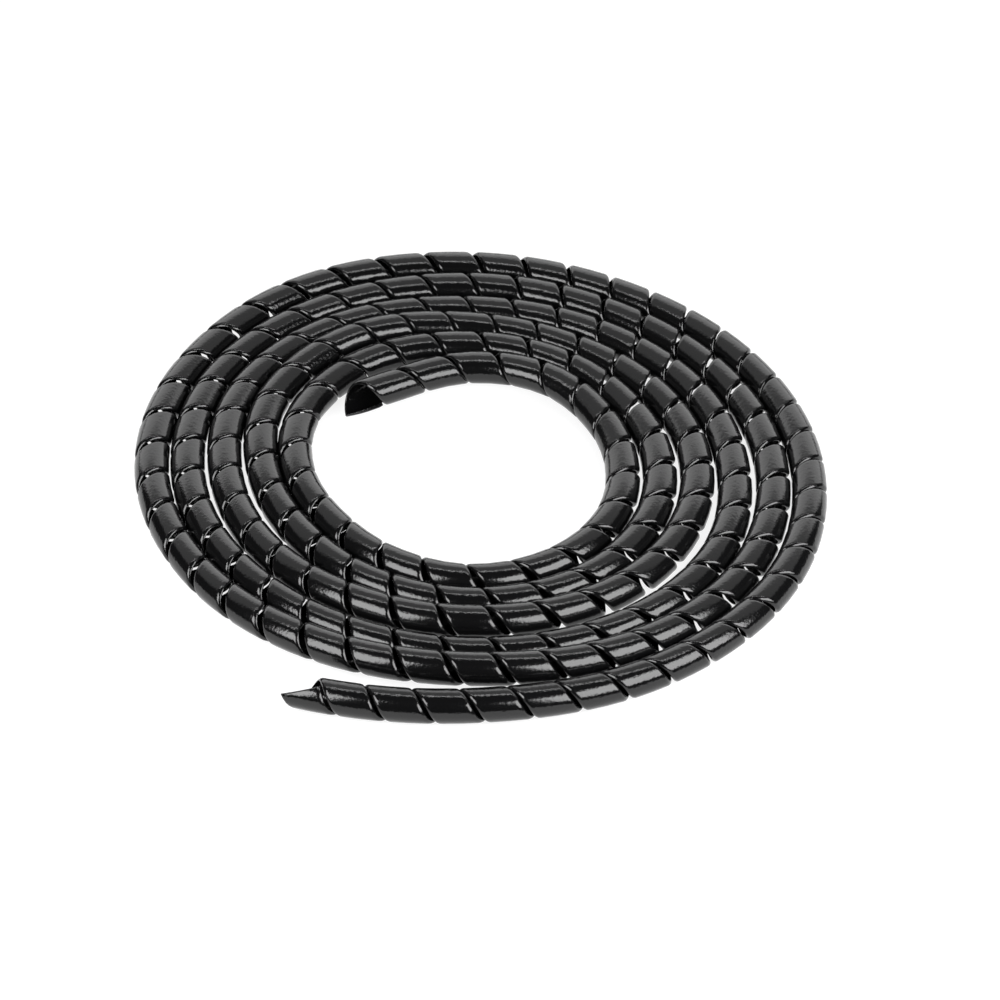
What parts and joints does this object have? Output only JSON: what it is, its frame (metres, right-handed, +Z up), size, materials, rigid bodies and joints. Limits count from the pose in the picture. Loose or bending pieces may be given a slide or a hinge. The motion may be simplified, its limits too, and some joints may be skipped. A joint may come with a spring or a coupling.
{
  "type": "spiral cable wrap",
  "caption": "Black plastic spiral cable wrap: a strip wound as a slit tube, lying as a loose flat coil with both cut ends free.",
  "frame": {"origin": "centre of the coil's bounding box in plan, at the floor that the coil lies on", "axes": "+Z up off the floor, through the flat coil; -Y toward the viewer of the picture, where the outer cut end lies; +X to that viewer's right"},
  "size_m": [0.4004, 0.4202, 0.0254],
  "materials": {
    "black_plastic": "gloss"
  },
  "bodies": {
    "root": {"spiral_wrap": "black_plastic"}
  },
  "joints": []
}
